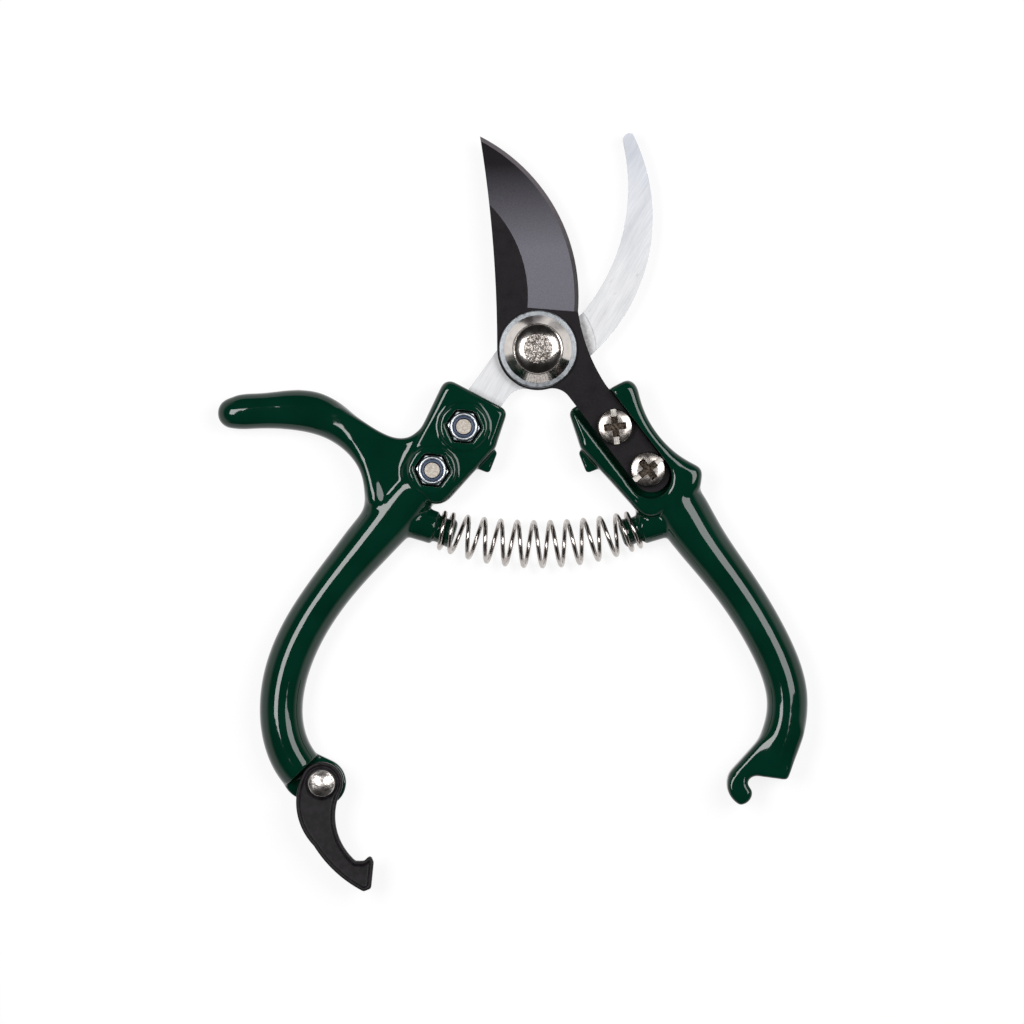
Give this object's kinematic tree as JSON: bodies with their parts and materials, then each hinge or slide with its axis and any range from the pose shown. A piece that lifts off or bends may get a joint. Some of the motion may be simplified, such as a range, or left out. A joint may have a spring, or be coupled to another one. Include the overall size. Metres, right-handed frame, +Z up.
{
  "type": "bypass pruning shears",
  "caption": "Bypass pruning shears with cast enamelled handles, a black cutting blade, a bright hooked counter blade, a barrel spring and a turning latch that locks them closed.",
  "frame": {"origin": "on the pivot axis, on the plane that the open shears lie on", "axes": "+Y along the shears to the blade tips, +X to the handle with the cutting blade, +Z up through the pivot bolt's head"},
  "size_m": [0.1597, 0.2045, 0.0169],
  "materials": {
    "enamelled_alloy": "gloss",
    "black_steel": "satin",
    "ground_steel": "satin",
    "nickel_plate": "gloss",
    "zinc_plate": "satin",
    "blue_nylon": "satin",
    "black_plastic": "satin"
  },
  "bodies": {
    "left": {"left_handle": "enamelled_alloy", "counter_blade": "ground_steel", "pivot_bolt": "nickel_plate", "pivot_washer": "zinc_plate", "pivot_nut": "zinc_plate", "counter_screw_upper": "nickel_plate", "counter_screw_lower": "nickel_plate", "counter_nut_upper": "zinc_plate", "counter_nut_lower": "zinc_plate", "counter_insert_upper": "blue_nylon", "counter_insert_lower": "blue_nylon", "latch_rivet": "nickel_plate", "spring": "nickel_plate"},
    "right": {"right_handle": "enamelled_alloy", "cutting_blade": "black_steel", "cutting_screw_upper": "nickel_plate", "cutting_screw_lower": "nickel_plate", "cutting_nut_upper": "zinc_plate", "cutting_nut_lower": "zinc_plate", "cutting_insert_upper": "blue_nylon", "cutting_insert_lower": "blue_nylon"},
    "latch": {"latch": "black_plastic"}
  },
  "joints": [
    {"name": "pivot", "type": "hinge", "parent": "left", "child": "right", "pos_m": [0, 0, 0], "axis": [0, 0, -1], "range_deg": [0, 42.4], "stiffness_Nm_per_rad": 3.7, "deforming": ["spring"]},
    {"name": "latch_turn", "type": "hinge", "parent": "left", "child": "latch", "pos_m": [-0.0583, -0.117, 0.0102], "axis": [0, 0, 1], "range_deg": [0, 34.5]}
  ]
}
